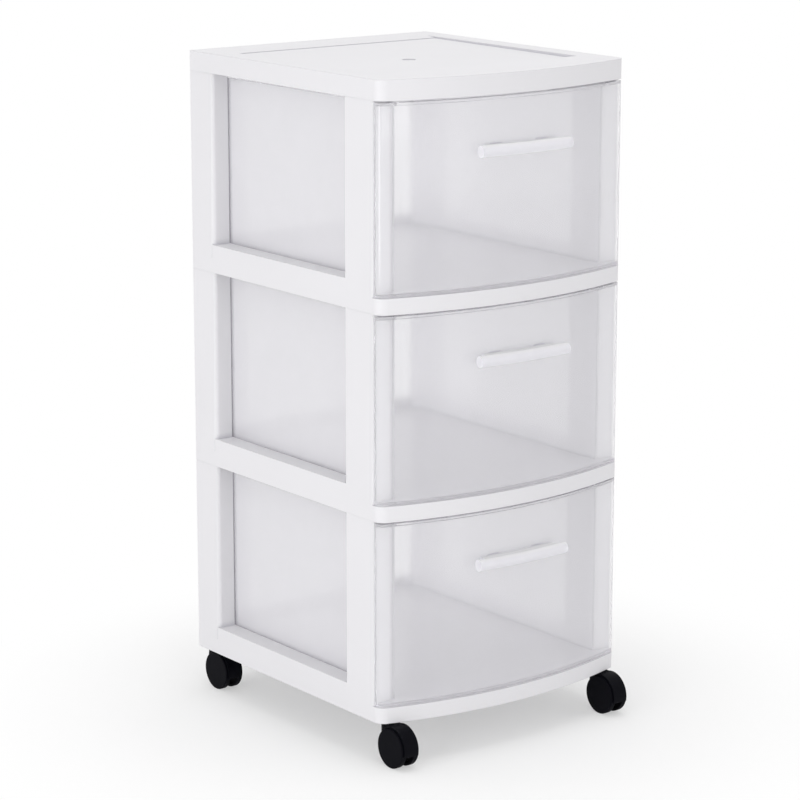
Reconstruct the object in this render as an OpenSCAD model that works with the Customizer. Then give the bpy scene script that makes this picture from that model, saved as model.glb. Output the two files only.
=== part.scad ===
// Plastic drawer tower on casters: three stacked tiers of a white moulded frame under a top cover,
// three clear drawers with bar handles, and four twin-wheel casters.
// Millimetres. The drawers open towards -Y, +Z is up, and the origin lies on the floor under the
// middle of the whole object.

/* [Frame] */
// Width across the foot of a tier
frame_w = 305; // [280:1:340]
// Depth from the front corners of the frame to its back
frame_d = 322; // [290:1:360]
// How far the middle of the curved front stands ahead of the front corners
front_bulge = 25; // [18:1:32]
// Height of one tier, from the underside of its base to the top of its posts
tier_h = 204; // [180:1:240]
// Height of the curved front rail of a tier
rail_h = 16; // [15:0.5:19]
// Height of the side beams and of the back wall of a tier
beam_h = 29; // [24:1:40]
// Thickness of the frame's moulded walls
frame_wall = 2.4; // [2:0.1:2.8]
// Thickness of the deck that closes the base of a tier
deck_t = 2.4; // [2:0.1:3]
// Plan radius of the front corners
corner_r = 12; // [9:1:15]
// Plan radius of the back corners
back_r = 4; // [3.5:0.5:6]
// How much each side of a tier leans in from its rail to its top
draft = 1; // [0.6:0.1:1.2]
// Height of the stiffening ribs under a deck
rib_h = 8; // [5:0.5:10]
// Thickness of the stiffening ribs
rib_t = 1.8; // [1.4:0.1:2.4]
// Distance between stiffening ribs
rib_pitch = 52; // [40:1:70]

/* [Posts] */
// Width of a front post, seen from the side
front_post_w = 45; // [36:1:60]
// Width of a back post, seen from the side
back_post_w = 41; // [32:1:56]
// Depth of a post from its outer face to the drawer
post_t = 20; // [18:0.5:24]
// Distance of the front posts behind the front corners
post_setback = 10; // [8:0.5:14]
// Radius of the back posts' edge beside the side window
window_r = 5; // [3:0.5:6]
// Radius of the front posts' outer edges
post_r = 2; // [1:0.25:3]
// Depth that a plug reaches into the post below it
plug_h = 10; // [6:1:16]
// Wall of a hollow plug
plug_wall = 2; // [1.6:0.1:2.4]
// Clearance round a plug in its post
plug_gap = 0.3; // [0.2:0.05:0.5]

/* [Top cover] */
// Height of the top cover
cover_h = 20; // [17:0.5:26]
// Width of the rim beside the sunk panel
rim_side = 25; // [18:0.5:36]
// Width of the rim behind the sunk panel
rim_back = 36; // [28:1:48]
// Distance of the sunk panel behind the front corners
rim_front = 43; // [30:1:56]
// Depth of the sunk panel along its front edge
sunk_front = 2.6; // [1.8:0.1:3.4]
// Depth of the sunk panel at the foot of its back ramp
sunk_back = 1.6; // [1.2:0.1:2]
// Length of the ramp behind the sunk panel
ramp_l = 13; // [8:0.5:18]
// Height of the small step at the foot of the ramp
ramp_step = 0.7; // [0.4:0.1:1]
// Diameter of the gate dimple in the sunk panel
dimple_d = 14; // [8:1:20]
// Depth of the gate dimple
dimple_h = 0.6; // [0.3:0.1:1]
// Distance of the dimple to the left of the middle
dimple_left = 14; // [0:1:30]
// Distance of the dimple behind the front corners
dimple_back = 134; // [100:1:170]

/* [Drawers] */
// Gap between a drawer's side walls and the posts
side_gap = 2; // [1:0.25:3]
// Gap between a drawer and the back wall of its tier
back_gap = 3; // [2:0.5:6]
// Thickness of a drawer's walls and floor
tub_wall = 2; // [1.6:0.1:2.4]
// Plan radius of a drawer's back corners
tub_r = 20; // [12:1:28]
// Distance of a drawer's side walls below the top of its tier
tub_drop = 6; // [5.5:0.5:12]
// Thickness of a drawer's front panel
front_t = 2.4; // [2:0.1:3]
// Distance of the front panel behind the curved front of the frame
front_inset = 1.2; // [0.8:0.1:2]
// Plan radius of the front panel's corners
panel_r = 6; // [4:0.5:9]
// Depth of the flange along the top and bottom of the front panel
flange_d = 8; // [5:0.5:10]
// Thickness of the flange along the top
flange_t = 3; // [2.4:0.1:3.6]
// Gap above the front panel
front_top_gap = 2; // [1.5:0.25:2.75]
// Gap under the front panel
front_foot_gap = 0.8; // [0.6:0.1:1]
// Gap between the side returns of the front panel and the posts
return_gap = 0.5; // [0.3:0.1:1]
// Width of the two runners that a drawer slides on
runner_w = 4; // [3:0.5:8]
// Height of the runners
runner_h = 1.5; // [1.3:0.1:2]
// Distance of the runners inside the drawer's side walls
runner_inset = 18; // [12:1:30]
// Running gap between a drawer's floor and its runners
runner_gap = 0.3; // [0.2:0.05:0.4]
// How far a drawer opens
travel = 250; // [150:5:260]
// Length of each stop, across the drawer
stop_l = 16; // [8:1:24]
// Thickness of each stop
stop_t = 4; // [3:0.5:6]
// Distance of the stops from the middle
stop_x = 60; // [30:1:90]
// Distance of a drawer's stops ahead of its back wall
stop_inset = 12; // [6:1:20]
// Gap that keeps a stop clear of the part that passes over it
stop_gap = 0.4; // [0.3:0.05:0.5]

/* [Handles] */
// Diameter of a handle's bar
bar_d = 12; // [10:0.5:14]
// Length of the bar along its curve
bar_l = 110; // [90:1:140]
// Distance of the bar's middle line ahead of the front panel
bar_reach = 11; // [10.5:0.5:14]
// Distance of the bar's middle line below the top of its tier
bar_drop = 52; // [35:1:80]
// Thickness of the web between the bar and the front panel
web_t = 3; // [2.4:0.2:3.6]
// Length of the web along its curve
web_l = 92; // [70:1:104]
// Distance of the web's top face below the top of the bar
web_drop = 0.9; // [0.5:0.1:1.5]
// Width of the two tongues that clip into the front panel
tongue_w = 14; // [8:1:18]
// Distance of the tongues from the middle
tongue_x = 28; // [20:1:34]
// Clearance round a tongue in its slot
tongue_gap = 0.15; // [0.1:0.05:0.3]
// Height of the barb behind the front panel
barb_h = 0.9; // [0.5:0.1:1.2]
// Length of the barb
barb_l = 3; // [2:0.5:4]
// Gap between the handle and the faces of the front panel
seat_gap = 0.1; // [0.05:0.05:0.2]

/* [Casters] */
// Height of the frame's underside above the floor
caster_h = 44; // [43:1:52]
// Diameter of a caster wheel
wheel_d = 40; // [38:1:41]
// Width over both wheels of a caster
caster_w = 21; // [20:0.5:26]
// Distance of the axle from the swivel line
trail = 16; // [15:0.5:18]
// Distance of the swivel line inside the frame's side
stem_in_x = 17; // [15:0.5:20]
// Distance of the swivel line inside the front corners and the back
stem_in_y = 8; // [8:0.5:12]
// Diameter of the stem's shank in the frame
shank_d = 8; // [7:0.5:9]
// Radial clearance of the shank in its socket
shank_gap = 0.05; // [0.03:0.01:0.1]
// Wall round the socket of a stem
socket_wall = 2.4; // [2:0.1:3]
// Diameter of the stem's collar and of the swivel housing
collar_d = 13; // [12:0.5:15]
// Thickness of the stem's collar
collar_t = 1.6; // [1.2:0.1:1.8]
// Diameter of the stem's pin in the hood
pin_d = 6; // [5:0.5:6]
// Length of the pin below the collar
pin_l = 14; // [10:0.5:15]
// Width of the grip ring in its groove on the shank
ring_w = 5; // [3:0.5:6]
// Thickness of the grip ring
ring_t = 0.8; // [0.5:0.1:1]
// Diameter of the axle
axle_d = 4; // [3:0.5:5]
// Radial running clearance on the pin and the axle
run_gap = 0.06; // [0.03:0.01:0.08]
// Thickness of the web between the wheels
mid_web = 9; // [8.5:0.5:10]
// Gap between a wheel and the web or the hood's edge
wheel_gap = 0.4; // [0.3:0.05:0.5]
// Thickness of the hood over the wheels
hood_t = 1.4; // [1:0.1:1.5]
// Gap between the hood and the treads
tread_gap = 0.6; // [0.4:0.1:0.8]
// Thickness of a wheel's outer disc
disc_t = 1.7; // [1.4:0.1:2.2]
// Thickness of a wheel's tread
tread_t = 2.2; // [1.6:0.1:3]
// Radius of a wheel's hub
hub_r = 4.5; // [4:0.25:6]
// Radius of the rounded edge of a wheel's disc
disc_r = 1; // [0.5:0.1:1.2]
// Angle of the hood's front lip below the axle
lip_angle = 12; // [5:1:20]

/* [Hidden] */
// Facets of ordinary round shapes and of the wide front curve
$fn = 64;
curve_fn = 720;
// Overlap that lets cuts pass through faces and joined shapes run into each other
eps = 0.5;
// Least plan radius of a corner that is drawn in
least_r = 0.5;

// The front curve and the depth of the whole object
half_w = frame_w / 2;
curve_r = (pow(half_w, 2) + pow(front_bulge, 2)) / (2 * front_bulge);
front_r = curve_r - front_inset;
bar_r = front_r + bar_reach;
depth = frame_d + front_bulge - front_inset + bar_reach + bar_d / 2;
y_back = depth / 2;
y_corner = y_back - frame_d;
y_curve = y_corner - front_bulge + curve_r;

// Posts
post_in = half_w - post_t;
y_front_post = y_corner + post_setback;
y_front_jamb = y_front_post + front_post_w;
y_back_jamb = y_back - back_post_w;

// Drawers
tub_half = post_in - side_gap;
y_tub = y_back - frame_wall - draft - back_gap;
floor_z = rail_h + runner_h + runner_gap;
tub_top = tier_h - tub_drop;
front_z0 = rail_h + front_foot_gap;
front_z1 = tier_h - front_top_gap;
y_return = y_front_post - return_gap;
panel_corner = panel_r + front_inset;
runner_x = tub_half - runner_inset;
y_stop = y_tub - stop_inset;

// Handles
bar_z = tier_h - bar_drop;
web_z = bar_d / 2 - web_drop - web_t;

// Casters
wheel_r = wheel_d / 2;
axle_z = wheel_r - caster_h;
stem_x = half_w - stem_in_x;
socket_r = shank_d / 2 + shank_gap;
socket_h = rail_h - deck_t;
// Clearance above the shank, and between the collar and the housing
shank_clear = 0.6;
collar_clear = 0.3;
shank_h = socket_h - shank_clear;
housing_z = -collar_t - collar_clear;
pin_end = -collar_t - pin_l;
// Chamfer on the shank's top, and the gaps beside the grip ring and in its split
shank_chamfer = 1;
ring_gap = 0.1;
ring_split = 1;
ring_z = (shank_h - ring_w) / 2;
// Clearance below the pin, and what the housing has under it
pin_clear = 0.3;
housing_floor = 1.5;
hood_r = wheel_r + tread_gap + hood_t;
pocket_r = wheel_r + tread_gap;
hood_half = caster_w / 2 - disc_t - wheel_gap;
wheel_in = mid_web / 2 + wheel_gap;
wheel_out = caster_w / 2;
// Radius of the web round the axle, and the axle's clearance in it
boss_r = hub_r + 1;
axle_gap = 0.02;
// Thickness of a wheel's face over its bore, and the gap behind the axle's end
bore_cap = 1.2;
axle_end_gap = 0.4;
bore_end = wheel_out - bore_cap;
axle_half = bore_end - axle_end_gap;
// How far behind the axle the hood's roof comes down to it
roof_foot = 0.6 * trail;

// Colours
white = [0.92, 0.92, 0.93];
clear = [0.82, 0.84, 0.88, 0.55];
black = [0.12, 0.12, 0.13];
steel = [0.7, 0.71, 0.73];

// Height of the underside of tier 0, 1 or 2, and of the top cover for 3
function tier_z(i) = caster_h + i * tier_h;

// Where a front curve of radius r stands at a distance x from the middle
function curve_y(r, x) = y_curve - sqrt(pow(r, 2) - pow(x, 2));

// Position of a swivel line: side is -1 left or 1 right, end is -1 front or 1 back
function stem_y(end) = end < 0 ? y_corner + stem_in_y : y_back - stem_in_y;

// Runs its children once on each side of the middle
module both_sides() {
    for (side = [0, 1]) mirror([side, 0, 0]) children();
}

// Box between two corners
module block(low, high) {
    translate(low) cube(high - low);
}

// Plan outline of the frame, drawn in by an inset, with its curved front and rounded corners.
// corner is the radius of the front corners before the inset
module frame_plan(inset = 0, corner = corner_r) {
    side = half_w - inset;
    front = curve_r - inset;
    r = corner - inset;
    rb = max(back_r - inset, least_r);
    back = y_back - inset;
    x_corner = side - r;
    y_round = y_curve - sqrt(pow(front - r, 2) - pow(x_corner, 2));
    x_tangent = x_corner * front / (front - r);
    intersection() {
        translate([0, y_curve]) circle(front, $fn = curve_fn);
        translate([-x_tangent, y_curve - front])
            square([2 * x_tangent, y_round - y_curve + front + eps]);
    }
    translate([-side, y_round]) square([2 * side, back - rb - y_round]);
    translate([rb - side, y_round]) square([2 * (side - rb), back - y_round]);
    both_sides() {
        translate([x_corner, y_round]) circle(r);
        translate([side - rb, back - rb]) circle(rb);
    }
}

// Leaning sides and back of a tier, from the top of its rail upwards
module drafted() {
    z0 = rail_h - eps;
    lean = draft * eps / (tier_h - rail_h);
    intersection() {
        children();
        translate([0, y_back + eps, 0]) rotate([90, 0, 0]) linear_extrude(depth)
            polygon([
                [-half_w - lean, z0], [half_w + lean, z0],
                [half_w - draft, tier_h], [draft - half_w, tier_h]
            ]);
        translate([-half_w - eps, 0, 0]) rotate([90, 0, 90]) linear_extrude(frame_w + 2 * eps)
            polygon([
                [-depth, z0], [y_back + lean, z0],
                [y_back - draft, tier_h], [-depth, tier_h]
            ]);
    }
}

// Plan of one right-hand post from y0 to y1, with its two outer edges rounded
module post_plan(y0, y1, r0, r1) {
    difference() {
        translate([post_in, y0]) square([post_t, y1 - y0]);
        translate([half_w - r0, y0 - eps]) square([r0 + eps, r0 + eps]);
        translate([half_w - r1, y1 - r1]) square([r1 + eps, r1 + eps]);
    }
    translate([half_w - r0, y0 + r0]) circle(r0);
    translate([half_w - r1, y1 - r1]) circle(r1);
}

// Space inside a post or round a plug: the hollow of the post from y0 to y1, drawn in by a gap
module post_hollow(y0, y1, z0, z1, gap) {
    x0 = post_in + frame_wall + gap;
    x1 = half_w - draft - frame_wall - gap;
    block([x0, y0 + frame_wall + gap, z0], [x1, y1 - frame_wall - gap, z1]);
}

// The four hollow posts above a tier's deck
module posts() {
    difference() {
        drafted() intersection() {
            translate([0, 0, rail_h - eps]) linear_extrude(tier_h - rail_h + eps) frame_plan();
            both_sides() translate([0, 0, rail_h - eps]) linear_extrude(tier_h - rail_h + eps) {
                post_plan(y_front_post, y_front_jamb, post_r, post_r);
                post_plan(y_back_jamb, y_back, window_r, post_r);
            }
        }
        both_sides() {
            post_hollow(y_front_post, y_front_jamb, rail_h, tier_h + eps, 0);
            post_hollow(y_back_jamb, y_back - draft, rail_h, tier_h + eps, 0);
        }
    }
}

// Upper parts of the side beams and the low back wall
module beams() {
    drafted() intersection() {
        translate([0, 0, rail_h - eps]) linear_extrude(beam_h - rail_h + eps) frame_plan();
        union() {
            both_sides() block(
                [post_in, y_front_jamb - frame_wall, rail_h - eps],
                [half_w, y_back_jamb + frame_wall, beam_h]
            );
            block(
                [-post_in - eps, y_back - frame_wall - draft, rail_h - eps],
                [post_in + eps, y_back, beam_h]
            );
        }
    }
}

// Stiffening ribs under a deck, both ways
module deck_ribs() {
    low = rail_h - deck_t - rib_h;
    high = rail_h - deck_t + eps;
    columns = floor((post_in - rib_pitch / 2) / rib_pitch);
    rows = floor((frame_d - rib_pitch) / rib_pitch);
    for (i = [-columns:columns]) {
        x = i * rib_pitch;
        block([x - rib_t / 2, y_corner, low], [x + rib_t / 2, y_back - frame_wall / 2, high]);
    }
    for (i = [0:rows]) {
        y = y_corner + rib_pitch * (i + 0.5);
        block([-post_in - eps, y - rib_t / 2, low], [post_in + eps, y + rib_t / 2, high]);
    }
}

// Base of a tier: skirt with curved rail, deck, ribs, and the inner walls of the side beams
module base() {
    difference() {
        linear_extrude(rail_h) frame_plan();
        translate([0, 0, -eps]) linear_extrude(rail_h - deck_t + eps) frame_plan(frame_wall);
    }
    deck_ribs();
    both_sides() block(
        [post_in, y_front_post, 0],
        [post_in + frame_wall, y_back - frame_wall / 2, beam_h]
    );
}

// Runners and drawer stops on a deck
module runners() {
    y_block = y_stop - travel - stop_gap - stop_t;
    both_sides() {
        block(
            [runner_x - runner_w / 2, y_front_post, rail_h - eps],
            [runner_x + runner_w / 2, y_stop, rail_h + runner_h]
        );
        block(
            [stop_x - stop_l / 2, y_block, rail_h - eps],
            [stop_x + stop_l / 2, y_block + stop_t, floor_z - stop_gap]
        );
    }
}

// Hollow plugs that hang down into the posts below, fixed to a plate at height top
module plugs(top) {
    both_sides() difference() {
        union() {
            post_hollow(y_front_post, y_front_jamb, -plug_h, top, plug_gap);
            post_hollow(y_back_jamb, y_back - draft, -plug_h, top, plug_gap);
        }
        post_hollow(y_front_post, y_front_jamb, -plug_h - eps, top - eps, plug_gap + plug_wall);
        post_hollow(y_back_jamb, y_back - draft, -plug_h - eps, top - eps, plug_gap + plug_wall);
    }
}

// Runs its children at the four swivel lines, at the height of the frame's underside
module at_stems() {
    for (side = [-1, 1], end = [-1, 1]) translate([side * stem_x, stem_y(end), 0]) children();
}

// One tier of the frame, moulded in one piece. The lowest has sockets for casters, the others plugs
module tier_frame(i) {
    color(white) translate([0, 0, tier_z(i)]) difference() {
        union() {
            base();
            posts();
            beams();
            runners();
            if (i == 0) at_stems() cylinder(h = socket_h + eps, r = socket_r + socket_wall);
            else plugs(rail_h - deck_t + eps);
        }
        both_sides() block(
            [post_in + frame_wall, y_front_jamb + frame_wall, -eps],
            [half_w - draft - frame_wall, y_back_jamb - frame_wall, beam_h - frame_wall]
        );
        if (i == 0) at_stems() translate([0, 0, -eps]) cylinder(h = socket_h + eps, r = socket_r);
    }
}

// Side view of the sunk panel in the top cover, from its front edge back to the end of its ramp
module sunk_profile(low) {
    y0 = y_corner + rim_front;
    y1 = y_back - rim_back;
    polygon([
        [y0, eps], [y0, -sunk_front - low], [y1 - ramp_l, -sunk_back - low],
        [y1 - ramp_l, ramp_step - sunk_back - low], [y1, -low], [y1, eps]
    ]);
}

// Top cover: a shallow skirted lid with a sunk panel and plugs that hold it in the upper posts
module top_cover() {
    side = half_w - rim_side;
    ceiling = cover_h - frame_wall;
    pan_low = cover_h - sunk_front - frame_wall;
    color(white) translate([0, 0, tier_z(3)]) difference() {
        union() {
            difference() {
                linear_extrude(cover_h) frame_plan();
                translate([0, 0, -eps]) linear_extrude(ceiling + eps) frame_plan(frame_wall);
            }
            block(
                [-side - frame_wall, y_corner + rim_front - frame_wall, pan_low],
                [side + frame_wall, y_back - rim_back + frame_wall, ceiling + eps]
            );
            plugs(ceiling + eps);
        }
        translate([-side, 0, cover_h]) rotate([90, 0, 90]) linear_extrude(2 * side) sunk_profile(0);
        translate([-dimple_left, y_corner + dimple_back, cover_h - sunk_front - dimple_h])
            cylinder(h = sunk_front + dimple_h + eps, d = dimple_d);
    }
}

// Plan of a drawer's tub, drawn in by an inset, with its curved front at a radius of its own
module tub_plan(inset, front) {
    side = tub_half - inset;
    r = tub_r - inset;
    back = y_tub - inset;
    intersection() {
        translate([0, y_curve]) circle(front, $fn = curve_fn);
        translate([-side, y_curve - front]) square([2 * side, back - r - y_curve + front]);
    }
    translate([r - side, 0]) square([2 * (side - r), back]);
    both_sides() translate([side - r, back - r]) circle(r);
}

// Everything in front of the line where the side returns of a drawer's front panel end
module front_slice(z0, z1) {
    block([-half_w, y_curve - curve_r, z0], [half_w, y_return, z1]);
}

// One drawer: a tub that widens behind its curved front panel, with flanges and slots for its handle
module drawer(i) {
    flange_r = front_r - flange_d;
    in_z0 = floor_z + tub_wall;
    in_z1 = front_z1 - flange_t;
    color(clear) translate([0, 0, tier_z(i)]) difference() {
        union() {
            translate([0, 0, floor_z]) linear_extrude(tub_top - floor_z) tub_plan(0, front_r - front_t / 2);
            intersection() {
                translate([0, 0, front_z0]) linear_extrude(front_z1 - front_z0)
                    frame_plan(front_inset, panel_corner);
                front_slice(front_z0, front_z1);
            }
            both_sides() block(
                [stop_x - stop_l / 2, y_stop, rail_h + stop_gap],
                [stop_x + stop_l / 2, y_stop + stop_t, floor_z + tub_wall / 2]
            );
        }
        // inside of the tub, which starts in the wider space behind the front panel
        translate([0, 0, in_z0]) linear_extrude(in_z1 - in_z0) tub_plan(tub_wall, front_r - 2 * front_t);
        // space behind the front panel, as wide as the panel
        intersection() {
            translate([0, 0, in_z0]) linear_extrude(in_z1 - in_z0)
                frame_plan(front_inset + front_t, panel_corner);
            block([-half_w, y_curve - curve_r, 0], [half_w, y_return - tub_wall, tier_h]);
        }
        // behind the top flange and the bottom flange
        for (z = [[in_z1 - eps, tier_h], [0, floor_z]])
            translate([0, 0, z[0]]) linear_extrude(z[1] - z[0]) intersection() {
                translate([0, y_curve]) circle(flange_r, $fn = curve_fn);
                translate([-tub_half, y_curve - curve_r])
                    square([2 * tub_half, y_return + eps - y_curve + curve_r]);
            }
        // slots for the handle's tongues
        both_sides() block(
            [tongue_x - tongue_w / 2 - tongue_gap, y_curve - curve_r, bar_z + web_z - tongue_gap],
            [tongue_x + tongue_w / 2 + tongue_gap, y_corner, bar_z + web_z + web_t + tongue_gap]
        );
    }
}

// Turns a section into an arc of a given length along the front curve, centred on the middle
module along_front(length, radius) {
    sweep = length / radius * 180 / PI;
    translate([0, y_curve, 0]) rotate([0, 0, 270 - sweep / 2]) rotate_extrude(angle = sweep, $fn = curve_fn)
        children();
}

// Side view of a tongue: it starts inside the web and ends in a barb behind the front panel
module tongue_profile() {
    x_far = tongue_x + tongue_w / 2;
    y0 = curve_y(front_r, 0) - seat_gap - eps;
    y1 = curve_y(front_r - front_t, x_far) + seat_gap;
    polygon([
        [y0, web_z], [y1 + barb_l, web_z], [y1 + barb_l, web_z + web_t],
        [y1, web_z + web_t + barb_h], [y1, web_z + web_t], [y0, web_z + web_t]
    ]);
}

// One handle: a round bar that follows the front, a web and two tongues that clip into the panel
module handle(i) {
    color(clear) translate([0, 0, tier_z(i) + bar_z]) {
        along_front(bar_l, bar_r) translate([bar_r, 0]) circle(d = bar_d);
        along_front(web_l, bar_r) translate([front_r + seat_gap, web_z])
            square([bar_reach - seat_gap, web_t]);
        for (side = [-1, 1]) translate([side * tongue_x - tongue_w / 2, 0, 0])
            rotate([90, 0, 90]) linear_extrude(tongue_w) tongue_profile();
    }
}

// Runs its children at one swivel line, at the height of the frame's underside
module at_stem(side, end) {
    translate([side * stem_x, stem_y(end), caster_h]) children();
}

// Stem of a caster: a shank with a groove in the frame's socket, a collar and a swivel pin
module stem(side, end) {
    r = shank_d / 2;
    groove_r = r - ring_t - shank_gap;
    color(steel) at_stem(side, end) rotate_extrude() {
        translate([0, -collar_t]) square([collar_d / 2, collar_t]);
        translate([0, pin_end]) square([pin_d / 2, pin_l + eps]);
        polygon([
            [0, -eps], [r, -eps], [r, ring_z], [groove_r, ring_z],
            [groove_r, ring_z + ring_w], [r, ring_z + ring_w], [r, shank_h - shank_chamfer],
            [r - shank_chamfer, shank_h], [0, shank_h]
        ]);
    }
}

// Split spring rings in the grooves of the four stems, which hold them in their sockets
module grip_rings() {
    color(steel) at_stems() translate([0, 0, caster_h + ring_z + ring_gap]) difference() {
        cylinder(h = ring_w - 2 * ring_gap, r = shank_d / 2);
        translate([0, 0, -eps]) cylinder(h = ring_w + 2 * eps, r = shank_d / 2 - ring_t);
        block([0, -ring_split / 2, -eps], [shank_d, ring_split / 2, ring_w + eps]);
    }
}

// Side view of a hood at full width, round the axle: the curved roof from its lip to the housing
module hood_profile() {
    far = 2 * hood_r;
    intersection() {
        circle(hood_r);
        polygon([
            [0, 0], [-far * cos(lip_angle), -far * sin(lip_angle)], [-far, far], [trail, far],
            [trail, hood_r / 2], [roof_foot, 0]
        ]);
    }
}

// Side view of the web between the wheels, round the axle
module web_profile() {
    hood_profile();
    circle(boss_r);
    polygon([
        [0, -hub_r], [trail + boss_r, pin_end - housing_floor - axle_z],
        [trail + boss_r, housing_z - axle_z], [0, housing_z - axle_z]
    ]);
}

// Hood of a caster: a roof over both wheels, a middle web and the swivel housing
module hood(side, end) {
    color(black) at_stem(side, end) difference() {
        union() {
            difference() {
                union() {
                    translate([-hood_half, -trail, axle_z]) rotate([90, 0, 90])
                        linear_extrude(2 * hood_half) hood_profile();
                    translate([0, 0, pin_end - housing_floor])
                        cylinder(h = housing_z - pin_end + housing_floor, d = collar_d);
                    block([-collar_d / 2, -trail, axle_z + wheel_r], [collar_d / 2, 0, housing_z]);
                }
                for (w = [-1, 1]) translate([w * (mid_web / 2 + caster_w / 2), -trail, axle_z])
                    rotate([0, 90, 0]) cylinder(h = caster_w, r = pocket_r, center = true);
            }
            translate([-mid_web / 2, -trail, axle_z]) rotate([90, 0, 90])
                linear_extrude(mid_web) web_profile();
        }
        translate([0, 0, pin_end - pin_clear])
            cylinder(h = housing_z - pin_end + pin_clear + eps, r = pin_d / 2 + run_gap);
        translate([0, -trail, axle_z]) rotate([0, 90, 0])
            cylinder(h = caster_w, r = axle_d / 2 + axle_gap, center = true);
    }
}

// Steel axle through the middle web
module axle(side, end) {
    color(steel) at_stem(side, end) translate([0, -trail, axle_z]) rotate([0, 90, 0])
        cylinder(h = 2 * axle_half, d = axle_d, center = true);
}

// One wheel: an outer disc with a rounded edge, a tread and a hub with a blind bore.
// Face is -1 for the wheel on the left of its caster and 1 for the one on the right
module wheel(side, end, face) {
    color(black) at_stem(side, end) translate([0, -trail, axle_z]) rotate([0, face * 90, 0])
        rotate_extrude() difference() {
            union() {
                translate([0, wheel_out - disc_t]) square([wheel_r - disc_r, disc_t]);
                translate([wheel_r - tread_t, wheel_in]) square([tread_t, wheel_out - disc_r - wheel_in]);
                translate([wheel_r - disc_r, wheel_out - disc_r]) circle(disc_r);
                translate([0, wheel_in]) square([hub_r, wheel_out - wheel_in - disc_t / 2]);
            }
            translate([-eps, wheel_in - eps])
                square([axle_d / 2 + run_gap + eps, bore_end - wheel_in + eps]);
        }
}

top_cover();
tier_frame(2);  // tier_frame_upper
tier_frame(1);  // tier_frame_middle
tier_frame(0);  // tier_frame_lower
drawer(2);  // drawer_upper
drawer(1);  // drawer_middle
drawer(0);  // drawer_lower
handle(2);  // handle_upper
handle(1);  // handle_middle
handle(0);  // handle_lower
stem(-1, -1);  // stem_front_left
stem(1, -1);  // stem_front_right
stem(-1, 1);  // stem_back_left
stem(1, 1);  // stem_back_right
grip_rings();
hood(-1, -1);  // hood_front_left
hood(1, -1);  // hood_front_right
hood(-1, 1);  // hood_back_left
hood(1, 1);  // hood_back_right
axle(-1, -1);  // axle_front_left
axle(1, -1);  // axle_front_right
axle(-1, 1);  // axle_back_left
axle(1, 1);  // axle_back_right
wheel(-1, -1, -1);  // wheel_front_left_outer
wheel(-1, -1, 1);  // wheel_front_left_inner
wheel(1, -1, 1);  // wheel_front_right_outer
wheel(1, -1, -1);  // wheel_front_right_inner
wheel(-1, 1, -1);  // wheel_back_left_outer
wheel(-1, 1, 1);  // wheel_back_left_inner
wheel(1, 1, 1);  // wheel_back_right_outer
wheel(1, 1, -1);  // wheel_back_right_inner
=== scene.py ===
# %% [markdown]
# # A plastic drawer tower in a white studio
#
# The tower is a stack of three white moulded tiers under a cover, with three clear drawers and four
# black twin-wheel casters. Its shapes come ready made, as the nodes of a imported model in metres.
# This lesson gives each node the finish of the real plastic or metal, and sets up the floor, the
# lights and the camera of a product picture.

# %% Load the model
import math

import bpy
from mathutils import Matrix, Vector

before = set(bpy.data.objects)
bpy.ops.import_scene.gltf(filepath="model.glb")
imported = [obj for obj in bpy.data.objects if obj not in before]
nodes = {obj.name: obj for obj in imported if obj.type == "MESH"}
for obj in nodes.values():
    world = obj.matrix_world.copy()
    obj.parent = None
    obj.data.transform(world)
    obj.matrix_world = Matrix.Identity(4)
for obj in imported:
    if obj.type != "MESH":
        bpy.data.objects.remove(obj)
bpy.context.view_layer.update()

MM = 0.001

# %% [markdown]
# Colours are easiest to compare with a picture when they are written as on the web, in sRGB hex.
# Shaders work with linear light, so one function turns the first into the second.

# %% Colours from hex
def colour(hex_code):
    """Linear colour of a web colour such as #EDEDEF."""
    channels = [int(hex_code[i:i + 2], 16) / 255 for i in (1, 3, 5)]
    linear = [c / 12.92 if c <= 0.04045 else ((c + 0.055) / 1.055) ** 2.4 for c in channels]
    return (*linear, 1.0)


WHITE = colour("#FFFFFF")
print("mid grey:", [round(c, 3) for c in colour("#808080")])

# %% [markdown]
# A material is a small graph of nodes. One helper adds a node, sets its values and links its inputs,
# so that each finish below reads as a list of what it is made of.

# %% One helper for shader nodes
def add_node(tree, kind, settings=None, links=None):
    """Adds a node: settings are its properties and fixed inputs, links are inputs fed by outputs."""
    node = tree.nodes.new(kind)
    for name, value in (settings or {}).items():
        if isinstance(name, int) or name in node.inputs:
            node.inputs[name].default_value = value
        else:
            setattr(node, name, value)
    for name, source in (links or {}).items():
        tree.links.new(source, node.inputs[name])
    return node


def new_material(name):
    """An empty material with its output node."""
    material = bpy.data.materials.new(name)
    material.use_nodes = True
    tree = material.node_tree
    tree.nodes.clear()
    return material, tree, add_node(tree, "ShaderNodeOutputMaterial")


def per_metre(size_mm):
    """Scale of a procedural texture whose features are this large."""
    return 1 / (size_mm * MM)


print("a 2 mm grain has the scale", per_metre(2))
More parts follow.
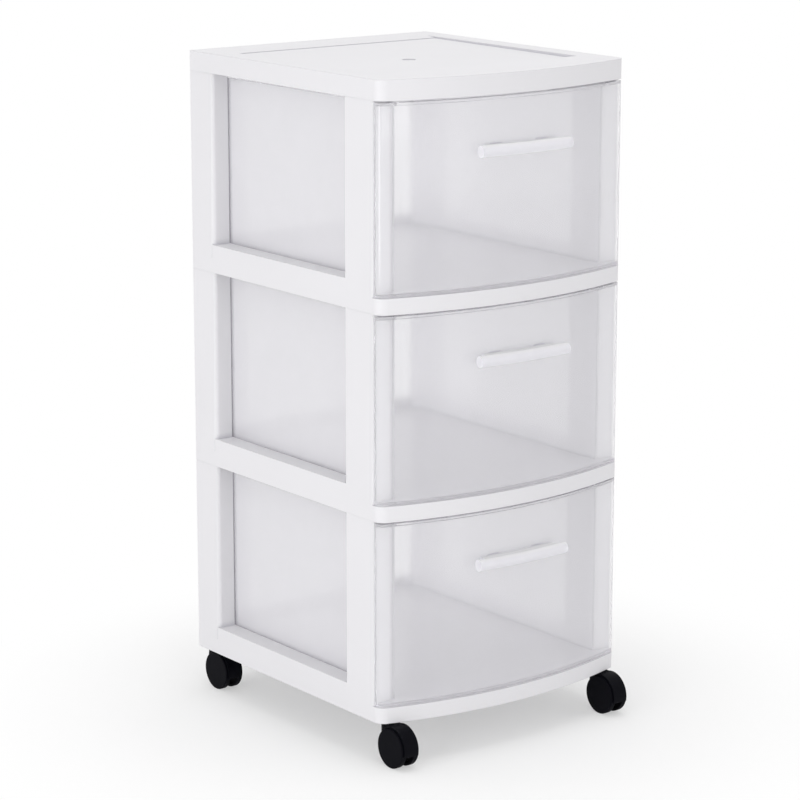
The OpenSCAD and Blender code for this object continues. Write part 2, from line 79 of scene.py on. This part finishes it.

# %% [markdown]
# ## The frame: moulded white polypropylene
#
# The tiers and the cover are polypropylene, filled with white pigment and moulded in a steel tool.
# The tool is spark eroded, which leaves a very fine satin grain, and the plastic shrinks a little
# over its ribs and posts, which leaves soft waves that only show in a highlight. The real grain is
# about 0.1 mm and would vanish at this distance, so it is drawn at 0.9 mm, and very shallow.
# Two small things make the edges real. The tool's edges are never sharp, so a bevel of 0.8 mm bends
# the light there. Inner corners get painted shade: they are tinted a little darker.

# %% White polypropylene
def white_polypropylene():
    material, tree, output = new_material("white_polypropylene_moulded")
    place = add_node(tree, "ShaderNodeTexCoord").outputs["Object"]
    flow = add_node(tree, "ShaderNodeTexNoise",
                    {"Scale": per_metre(90), "Detail": 3.0, "Roughness": 0.5}, {"Vector": place})
    grain = add_node(tree, "ShaderNodeTexNoise",
                     {"Scale": per_metre(0.9), "Detail": 2.0, "Roughness": 0.6}, {"Vector": place})
    # the pigment is a touch uneven along the flow of the melt, and the corners get painted shade
    pigment = add_node(tree, "ShaderNodeMix",
                       {"data_type": "RGBA", 6: colour("#E5E4E7"), 7: colour("#E9E8EB")},
                       {0: flow.outputs["Fac"]})
    # painted shade: where the occlusion test finds a corner closed in, the colour turns a darker grey
    open_air = add_node(tree, "ShaderNodeAmbientOcclusion",
                        {"samples": 8, "Distance": 6 * MM, "only_local": True})
    painted_corner_shade = add_node(tree, "ShaderNodeMix", {"data_type": "RGBA", 6: colour("#B4B3BC")},
                     {0: open_air.outputs["AO"], 7: pigment.outputs[2]})
    satin = add_node(tree, "ShaderNodeMapRange", {"To Min": 0.40, "To Max": 0.50},
                     {"Value": grain.outputs["Fac"]})
    # soft edges first, then the shrinkage waves, then the grain
    edge = add_node(tree, "ShaderNodeBevel", {"samples": 4, "Radius": 0.8 * MM})
    sink = add_node(tree, "ShaderNodeBump", {"Strength": 0.35, "Distance": 0.4 * MM},
                    {"Height": flow.outputs["Fac"], "Normal": edge.outputs["Normal"]})
    texture = add_node(tree, "ShaderNodeBump", {"Strength": 0.25, "Distance": 0.02 * MM},
                       {"Height": grain.outputs["Fac"], "Normal": sink.outputs["Normal"]})
    surface = add_node(tree, "ShaderNodeBsdfPrincipled", {"IOR": 1.49},
                       {"Base Color": painted_corner_shade.outputs[2], "Roughness": satin.outputs["Result"],
                        "Normal": texture.outputs["Normal"]})
    tree.links.new(surface.outputs["BSDF"], output.inputs["Surface"])
    return material


frame_plastic = white_polypropylene()
print("made", frame_plastic.name)

# %% [markdown]
# ## Clear plastic: rays that look and rays that light
#
# Without pigment polypropylene isn't glass clear: its crystals scatter light, so a 2 mm wall looks
# like thin fog. But the fog scatters most light onwards, so the inside of a drawer is nearly as
# bright as the outside. A renderer misses that, because it tests lamps along straight lines. So rays
# that only carry light will meet a far thinner fog than rays that look at the wall, and the first
# thing that the shader needs to know is which kind a ray is.

# %% Tell the rays apart
def seen_directly(tree):
    """1 for rays from the camera, from a mirror and through clear plastic, and 0 for the rest."""
    path = add_node(tree, "ShaderNodeLightPath")
    either = add_node(tree, "ShaderNodeMath", {"operation": "MAXIMUM"},
                      {0: path.outputs["Is Camera Ray"], 1: path.outputs["Is Glossy Ray"]})
    return add_node(tree, "ShaderNodeMath", {"operation": "MAXIMUM"},
                    {0: either.outputs[0], 1: path.outputs["Is Transmission Ray"]}).outputs[0]


print("made the helper", seen_directly.__name__)

# %% [markdown]
# ## Clear plastic: the parts of a drawer
#
# A drawer isn't equally foggy everywhere. Its front is polished, the tub behind is less so, and the
# tub's side walls come from an etched part of the tool. The shader tells them apart by where a face
# lies and which way it looks. Each answer is a mask from 0 to 1, and where one part meets the next
# it changes over a short way, so that no hard line shows. A face looks along an axis when its normal
# does. The normal times the place, both along X, tells outer side faces from inner ones: on an outer
# one it is the distance from the middle, and on an inner one the two point opposite ways. The tub
# starts 132 mm in front of the middle, where the side returns of the front panel end.

# %% Masks for the parts
TUB_FROM = -132 * MM
HALF_LINE = 1 * MM
LOOKS_ALONG = {"From Min": 0.6, "From Max": 0.9}
LOOKS_OUT = {"From Min": 70 * MM, "From Max": 110 * MM}


def part_masks(tree, place, tub_from):
    """Masks of the level faces, the whole tub, the tub's side faces and the outer ones of these."""
    normal = add_node(tree, "ShaderNodeSeparateXYZ", None, {0: place.outputs["Normal"]})
    spot = add_node(tree, "ShaderNodeSeparateXYZ", None, {0: place.outputs["Object"]})
    along = {}
    for axis in "XZ":
        size = add_node(tree, "ShaderNodeMath", {"operation": "ABSOLUTE"}, {0: normal.outputs[axis]})
        along[axis] = add_node(tree, "ShaderNodeMapRange", LOOKS_ALONG,
                               {"Value": size.outputs[0]}).outputs["Result"]
    away = add_node(tree, "ShaderNodeMath", {"operation": "MULTIPLY"},
                    {0: normal.outputs["X"], 1: spot.outputs["X"]})
    outwards = add_node(tree, "ShaderNodeMapRange", LOOKS_OUT, {"Value": away.outputs[0]})
    behind = add_node(tree, "ShaderNodeMapRange",
                      {"From Min": tub_from - HALF_LINE, "From Max": tub_from + HALF_LINE},
                      {"Value": spot.outputs["Y"]}).outputs["Result"]
    # level faces count as tub right up to the front, so that no line crosses the drawer's floor
    tub = add_node(tree, "ShaderNodeMath", {"operation": "MAXIMUM"}, {0: along["Z"], 1: behind})
    side = add_node(tree, "ShaderNodeMath", {"operation": "MULTIPLY"}, {0: along["X"], 1: behind})
    outer = add_node(tree, "ShaderNodeMath", {"operation": "MULTIPLY"},
                     {0: outwards.outputs["Result"], 1: behind})
    return {"level": along["Z"], "tub": tub.outputs[0], "side": side.outputs[0],
            "outer": outer.outputs[0]}


tub_sides = [abs(face.center.x) for face in nodes["drawer_middle"].data.polygons
             if face.center.y > TUB_FROM and abs(face.normal.x) > LOOKS_ALONG["From Max"]]
print("the tub's outer sides stand", round(max(tub_sides) / MM), "mm from the middle")

# %% [markdown]
# ## Clear plastic: the fog
#
# The fog is lit from the side it is seen from and a little from behind. Its colour is nearly white.
# The etched outer sides are greyer, and inner corners get painted shade, as on the frame.

# %% What the fog scatters
ONWARD = 0.12
PAINTED_SHADE_REACH = 5 * MM


def fog_shader(tree, hexes, mask, inside):
    """Light scattered by the wall, back to the eye and, for a small share, onwards."""
    # painted shade: outer faces in corners or close to other parts are tinted darker
    open_air = add_node(tree, "ShaderNodeAmbientOcclusion", {"samples": 4, "Distance": PAINTED_SHADE_REACH})
    unshaded = add_node(tree, "ShaderNodeMath", {"operation": "MAXIMUM"},
                     {0: open_air.outputs["AO"], 1: inside})
    upright = add_node(tree, "ShaderNodeMix",
                       {"data_type": "RGBA", 6: colour(hexes["unshaded"]), 7: colour(hexes["outer"])},
                       {0: mask["outer"]})
    wall = add_node(tree, "ShaderNodeMix", {"data_type": "RGBA", 7: colour(hexes["level"])},
                    {0: mask["level"], 6: upright.outputs[2]})
    tint = add_node(tree, "ShaderNodeMix", {"data_type": "RGBA", 6: colour(hexes["painted_corner_shade"])},
                    {0: unshaded.outputs[0], 7: wall.outputs[2]}).outputs[2]
    back = add_node(tree, "ShaderNodeBsdfDiffuse", None, {"Color": tint})
    onwards = add_node(tree, "ShaderNodeBsdfTranslucent", None, {"Color": tint})
    return add_node(tree, "ShaderNodeMixShader", {0: ONWARD},
                    {1: back.outputs["BSDF"], 2: onwards.outputs["BSDF"]}).outputs[0]


print("share of scattered light that goes onwards:", ONWARD)

# %% [markdown]
# How much of the light the fog takes depends on the part, on faint clouds in the plastic, and on the
# angle: at a flat angle light crosses more plastic. The power makes that start late, near the edges.

# %% How thick the fog is
CLOUDS = 0.04
FLAT_ANGLE_POWER = 2.5


def fog_share(tree, fogs, mask, ripple):
    """The fog's share of what is seen, and a measure from 0 to 1 of how flat the angle is."""
    plain = add_node(tree, "ShaderNodeMath",
                     {"operation": "MULTIPLY_ADD", 1: fogs["tub"] - fogs["front"], 2: fogs["front"]},
                     {0: mask["tub"]})
    etched = add_node(tree, "ShaderNodeMath",
                      {"operation": "MULTIPLY_ADD", 1: fogs["side"] - fogs["tub"]},
                      {0: mask["side"], 2: plain.outputs[0]})
    cloudy = add_node(tree, "ShaderNodeMath", {"operation": "MULTIPLY_ADD", 1: CLOUDS},
                      {0: ripple, 2: etched.outputs[0]})
    angle = add_node(tree, "ShaderNodeLayerWeight", {"Blend": 0.5}).outputs["Facing"]
    flat = add_node(tree, "ShaderNodeMath", {"operation": "POWER", 1: FLAT_ANGLE_POWER},
                    {0: angle}).outputs[0]
    share = add_node(tree, "ShaderNodeMapRange", {"To Max": fogs["flat"]},
                     {"Value": flat, "To Min": cloudy.outputs[0]})
    return share.outputs["Result"], flat


print("clouds add at most", CLOUDS, "to the fog")

# %% [markdown]
# ## Clear plastic: the whole wall
#
# What looks at the wall sees a mix of slightly blurred glass and fog with a gloss on it. What only
# lights passes, but for a share that is held back, which is large at a flat angle.

# %% Clear plastic
FLAT_ANGLE_HOLDS = 0.95


def clear_plastic(name, hexes, fogs, tub_from, held_back, roughness, blur, ior, ripple_mm):
    """Hexes and fogs name the colour and the scattered share of each part of the moulding."""
    material, tree, output = new_material(name)
    place = add_node(tree, "ShaderNodeTexCoord")
    inside = add_node(tree, "ShaderNodeNewGeometry").outputs["Backfacing"]
    mask = part_masks(tree, place, tub_from)
    ripple = add_node(tree, "ShaderNodeTexNoise",
                      {"Scale": per_metre(ripple_mm), "Detail": 2.0, "Roughness": 0.5},
                      {"Vector": place.outputs["Object"]}).outputs["Fac"]
    wave = add_node(tree, "ShaderNodeBump", {"Strength": 0.3, "Distance": 0.1 * MM},
                    {"Height": ripple}).outputs["Normal"]
    fog = fog_shader(tree, hexes, mask, inside)
    share, flat = fog_share(tree, fogs, mask, ripple)
    # only the outer faces reflect: light inside the wall goes on to its other face
    gloss = add_node(tree, "ShaderNodeBsdfGlossy", {"Roughness": roughness}, {"Normal": wave})
    fresnel = add_node(tree, "ShaderNodeFresnel", {"IOR": ior})
    outside = add_node(tree, "ShaderNodeMath", {"operation": "SUBTRACT", 0: 1.0}, {1: inside})
    mirror = add_node(tree, "ShaderNodeMath", {"operation": "MULTIPLY"},
                      {0: fresnel.outputs["Fac"], 1: outside.outputs[0]})
    glossy_fog = add_node(tree, "ShaderNodeMixShader", None,
                          {0: mirror.outputs[0], 1: fog, 2: gloss.outputs["BSDF"]})
    glass = add_node(tree, "ShaderNodeBsdfGlass", {"Roughness": blur, "IOR": ior})
    looked_at = add_node(tree, "ShaderNodeMixShader", None,
                         {0: share, 1: glass.outputs["BSDF"], 2: glossy_fog.outputs[0]})
    # what rays that only carry light meet
    passing = add_node(tree, "ShaderNodeBsdfTransparent", {"Color": WHITE})
    blocked = add_node(tree, "ShaderNodeMapRange", {"To Min": held_back, "To Max": FLAT_ANGLE_HOLDS},
                       {"Value": flat})
    only_lit = add_node(tree, "ShaderNodeMixShader", None,
                        {0: blocked.outputs["Result"], 1: passing.outputs["BSDF"], 2: fog})
    surface = add_node(tree, "ShaderNodeMixShader", None,
                       {0: seen_directly(tree), 1: only_lit.outputs[0], 2: looked_at.outputs[0]})
    tree.links.new(surface.outputs[0], output.inputs["Surface"])
    return material


print("at a flat angle the wall holds back", FLAT_ANGLE_HOLDS, "of the light")

# %% [markdown]
# ## The drawers: clear polypropylene
#
# A drawer's walls are 2 mm thick, so they are mostly clear. The front is the clearest part, and the
# etched sides are the foggiest. The ripple of 35 mm is the slow wave of a thin moulded wall. It bends
# the highlights, and the faint clouds follow it.

# %% Clear polypropylene
drawer_plastic = clear_plastic(
    "clear_polypropylene_moulded",
    # the last colour is the painted shade of corners and contact lines
    hexes={"unshaded": "#FBFAFE", "outer": "#EAE9ED", "level": "#FCFAFF", "painted_corner_shade": "#B2B1BA"},
    fogs={"front": 0.16, "tub": 0.30, "side": 0.6, "flat": 0.5},
    tub_from=TUB_FROM, held_back=0.01, roughness=0.06, blur=0.08, ior=1.49, ripple_mm=35)
print("made", drawer_plastic.name)

# %% [markdown]
# ## The handles: clear polystyrene
#
# The bars are moulded from a harder, clearer plastic with a polished surface, so they show sharper
# highlights than the drawers. Being 12 mm thick they still look milky, and hold back more light. A
# bar has no front and tub, so the line between the two is set far in front of it. All of it then
# counts as tub, and its ends, which look sideways, are foggier.

# %% Clear polystyrene
FAR_IN_FRONT = -1.0

handle_plastic = clear_plastic(
    "clear_polystyrene_polished",
    # the last colour is the painted shade of corners and contact lines
    hexes={"unshaded": "#FAF9FE", "outer": "#FAF9FE", "level": "#FFFFFF", "painted_corner_shade": "#D8D7E0"},
    fogs={"front": 0.55, "tub": 0.55, "side": 0.8, "flat": 0.85},
    tub_from=FAR_IN_FRONT, held_back=0.6, roughness=0.05, blur=0.03, ior=1.55, ripple_mm=12)
print("made", handle_plastic.name)

# %% [markdown]
# ## The casters: black nylon
#
# Hoods and wheels are glass-filled nylon, black right through. It is tough and slightly waxy, and
# its moulded grain scatters the highlight. The treads are scuffed by the floor, so they are rougher.
# The real grain is about 0.1 mm, and is drawn at 0.8 mm so that it isn't lost at this distance.

# %% Black nylon
def black_nylon(name, least, most):
    """Least and most are the roughness where the surface is least and most scuffed."""
    material, tree, output = new_material(name)
    place = add_node(tree, "ShaderNodeTexCoord").outputs["Object"]
    grain = add_node(tree, "ShaderNodeTexNoise",
                     {"Scale": per_metre(0.8), "Detail": 3.0, "Roughness": 0.6}, {"Vector": place})
    cloud = add_node(tree, "ShaderNodeTexNoise",
                     {"Scale": per_metre(9), "Detail": 2.0, "Roughness": 0.5}, {"Vector": place})
    tint = add_node(tree, "ShaderNodeMix",
                    {"data_type": "RGBA", 6: colour("#06060B"), 7: colour("#0B0B12")},
                    {0: cloud.outputs["Fac"]})
    scuff = add_node(tree, "ShaderNodeMapRange", {"To Min": least, "To Max": most},
                     {"Value": cloud.outputs["Fac"]})
    texture = add_node(tree, "ShaderNodeBump", {"Strength": 0.4, "Distance": 0.03 * MM},
                       {"Height": grain.outputs["Fac"]})
    surface = add_node(tree, "ShaderNodeBsdfPrincipled", {"IOR": 1.5, "Specular IOR Level": 0.05},
                       {"Base Color": tint.outputs[2], "Roughness": scuff.outputs["Result"],
                        "Normal": texture.outputs["Normal"]})
    tree.links.new(surface.outputs["BSDF"], output.inputs["Surface"])
    return material


hood_plastic = black_nylon("black_nylon_moulded", least=0.38, most=0.48)
wheel_plastic = black_nylon("black_nylon_scuffed", least=0.50, most=0.65)
print("made", hood_plastic.name, "and", wheel_plastic.name)

# %% [markdown]
# ## Stems, rings and axles: zinc-plated steel
#
# The turned steel parts are zinc plated, which leaves a cool, slightly cloudy metal. The clouds are
# 1.5 mm large. Little of it shows, under the corners of the lowest tier.

# %% Zinc-plated steel
def zinc_plated_steel():
    material, tree, output = new_material("steel_zinc_plated")
    place = add_node(tree, "ShaderNodeTexCoord").outputs["Object"]
    cloud = add_node(tree, "ShaderNodeTexNoise",
                       {"Scale": per_metre(1.5), "Detail": 3.0, "Roughness": 0.6},
                       {"Vector": place})
    tint = add_node(tree, "ShaderNodeMix",
                    {"data_type": "RGBA", 6: colour("#B9BCC0"), 7: colour("#CED0D2")},
                    {0: cloud.outputs["Fac"]})
    satin = add_node(tree, "ShaderNodeMapRange", {"To Min": 0.25, "To Max": 0.4},
                     {"Value": cloud.outputs["Fac"]})
    surface = add_node(tree, "ShaderNodeBsdfPrincipled", {"Metallic": 1.0},
                       {"Base Color": tint.outputs[2], "Roughness": satin.outputs["Result"]})
    tree.links.new(surface.outputs["BSDF"], output.inputs["Surface"])
    return material


steel = zinc_plated_steel()
print("made", steel.name)

# %% [markdown]
# ## Dressing the nodes
#
# The start of a node's name says what it is, so one small table gives each its finish.

# %% Give each node its finish
FINISHES = {
    "top_cover": frame_plastic,
    "tier_frame": frame_plastic,
    "drawer": drawer_plastic,
    "handle": handle_plastic,
    "hood": hood_plastic,
    "wheel": wheel_plastic,
    "stem": steel,
    "grip_rings": steel,
    "axle": steel,
}

for name, thing in nodes.items():
    finish = next(material for start, material in FINISHES.items() if name.startswith(start))
    thing.data.materials.clear()
    thing.data.materials.append(finish)
print("dressed", len(nodes), "nodes")

# %% [markdown]
# ## Floor and background
#
# A product picture on white needs a floor that is as white as the background and still shows the
# tower's soft shadow. Under the tower the floor is mostly a real, lit surface. From 0.15 m to 0.5 m
# away from the middle it turns into a plain white that only the camera, reflections and clear plastic
# see, so no horizon shows.

# %% The floor
FLOOR_REACH = 6.0
FADE_FROM = 0.15
FADE_TO = 0.5
WHITE_UNDER_TOWER = 0.4

corners = [(x * FLOOR_REACH, y * FLOOR_REACH, 0) for x, y in ((-1, -1), (1, -1), (1, 1), (-1, 1))]
floor_mesh = bpy.data.meshes.new("floor")
floor_mesh.from_pydata(corners, [], [(0, 1, 2, 3)])
floor = bpy.data.objects.new("floor", floor_mesh)
bpy.context.scene.collection.objects.link(floor)


def studio_floor():
    material, tree, output = new_material("studio_floor_matt_white")
    place = add_node(tree, "ShaderNodeTexCoord").outputs["Object"]
    distance = add_node(tree, "ShaderNodeVectorMath", {"operation": "LENGTH"}, {0: place})
    fade = add_node(tree, "ShaderNodeMapRange",
                    {"interpolation_type": "SMOOTHSTEP", "From Min": FADE_FROM, "From Max": FADE_TO,
                     "To Min": WHITE_UNDER_TOWER},
                    {"Value": distance.outputs["Value"]})
    white = add_node(tree, "ShaderNodeMath", {"operation": "MULTIPLY"},
                     {0: fade.outputs["Result"], 1: seen_directly(tree)})
    paint = add_node(tree, "ShaderNodeBsdfPrincipled",
                     {"Base Color": colour("#FAFAFA"), "Roughness": 0.8, "Specular IOR Level": 0.0})
    glow = add_node(tree, "ShaderNodeEmission", {"Color": WHITE, "Strength": 1.0})
    mixed = add_node(tree, "ShaderNodeMixShader", None,
                     {0: white.outputs[0], 1: paint.outputs["BSDF"], 2: glow.outputs["Emission"]})
    tree.links.new(mixed.outputs[0], output.inputs["Surface"])
    return material


floor_mesh.materials.append(studio_floor())
print("floor is", 2 * FLOOR_REACH, "m wide")

# %% [markdown]
# The world is the white tent round the set. It is plain white where the camera sees it, and gives
# the even base light, to which the lamps add direction.

# %% The world
TENT_LIGHT = 0.68

world = bpy.data.worlds.new("white_tent")
bpy.context.scene.world = world
world.use_nodes = True
sky = world.node_tree
sky.nodes.clear()
strength = add_node(sky, "ShaderNodeMapRange", {"To Min": TENT_LIGHT, "To Max": 1.0},
                    {"Value": seen_directly(sky)})
tent = add_node(sky, "ShaderNodeBackground", {"Color": WHITE},
                {"Strength": strength.outputs["Result"]})
add_node(sky, "ShaderNodeOutputWorld", None, {"Surface": tent.outputs["Background"]})
print("tent light", TENT_LIGHT)

# %% [markdown]
# ## Lights
#
# Three large soft boxes: the main one stands to the left, on the floor, and lights the tower's side
# and the left of the curved fronts. A weaker one in front lights the inside of the drawers, and one
# overhead the cover. Large boxes give the soft edges of a tent. All look at a point about half way up
# the tower. Azimuth 0 is straight ahead of the drawers, and negative ones are to the left.

# %% Soft boxes
HALF_WAY_UP = Vector((0, 0, 0.35))


def direction(azimuth, elevation):
    """Unit vector from the tower towards these angles in degrees."""
    a, e = math.radians(azimuth), math.radians(elevation)
    return Vector((math.sin(a) * math.cos(e), -math.cos(a) * math.cos(e), math.sin(e)))


def look_along(thing, away):
    """Turns a lamp or camera to look against a direction, with its top up."""
    thing.rotation_mode = "QUATERNION"
    thing.rotation_quaternion = (-away).to_track_quat("-Z", "Y")


def soft_box(name, azimuth, elevation, distance, size, watts):
    """A square lamp that looks at the tower from a direction."""
    lamp = bpy.data.lights.new(name, "AREA")
    lamp.shape = "SQUARE"
    lamp.size = size
    lamp.energy = watts
    thing = bpy.data.objects.new(name, lamp)
    away = direction(azimuth, elevation)
    thing.location = HALF_WAY_UP + away * distance
    look_along(thing, away)
    bpy.context.scene.collection.objects.link(thing)


soft_box("main_soft_box", azimuth=-76, elevation=10, distance=2.6, size=1.6, watts=16.5)
soft_box("front_soft_box", azimuth=-12, elevation=15, distance=2.6, size=1.6, watts=8)
soft_box("top_soft_box", azimuth=-20, elevation=85, distance=2.4, size=1.4, watts=13)

# %% [markdown]
# ## Camera
#
# The picture was taken from a little above, round to the tower's left, with a long lens from about
# 3 m, which keeps the tower's uprights nearly parallel.

# %% The camera
CAMERA_AZIMUTH = -37.28
CAMERA_ELEVATION = 13.04
CAMERA_DISTANCE = 3.007
AIM = Vector((-0.0202, 0, 0.3261))
LENS_MM = 132.5

camera_data = bpy.data.cameras.new("camera")
camera_data.sensor_width = 36
camera_data.lens = LENS_MM
camera = bpy.data.objects.new("camera", camera_data)
bpy.context.scene.collection.objects.link(camera)
towards_camera = direction(CAMERA_AZIMUTH, CAMERA_ELEVATION)
camera.location = AIM + towards_camera * CAMERA_DISTANCE
look_along(camera, towards_camera)
bpy.context.scene.camera = camera
bpy.context.scene.view_settings.view_transform = "Standard"
print("camera at", [round(v, 3) for v in camera.location])
